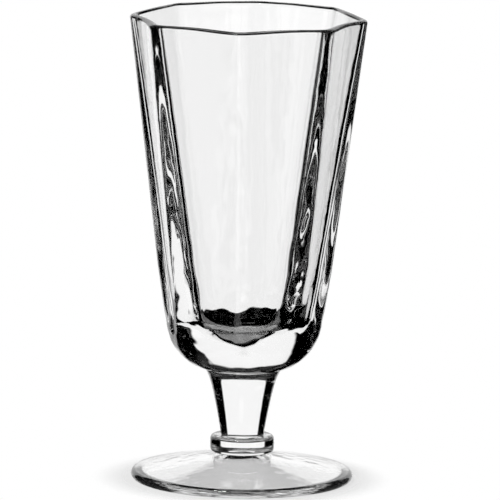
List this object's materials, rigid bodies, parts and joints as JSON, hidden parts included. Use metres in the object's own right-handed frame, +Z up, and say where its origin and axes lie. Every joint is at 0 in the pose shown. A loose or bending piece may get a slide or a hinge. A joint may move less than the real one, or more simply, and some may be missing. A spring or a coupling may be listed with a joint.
{
  "type": "stemmed shot glass",
  "caption": "Clear pressed shot glass: a faceted, tapering bowl with a thick base on a short stem, a collar and a round foot. It holds a small measure of spirits.",
  "frame": {"origin": "centre of the foot's resting plane", "axes": "+Z up along the glass's axis, towards the rim; a ridge of the bowl faces -Y"},
  "size_m": [0.0562, 0.0562, 0.11],
  "materials": {
    "clear_glass": "fire-polished"
  },
  "bodies": {
    "root": {"bowl": "clear_glass", "stem": "clear_glass", "collar": "clear_glass", "foot": "clear_glass"}
  },
  "joints": []
}
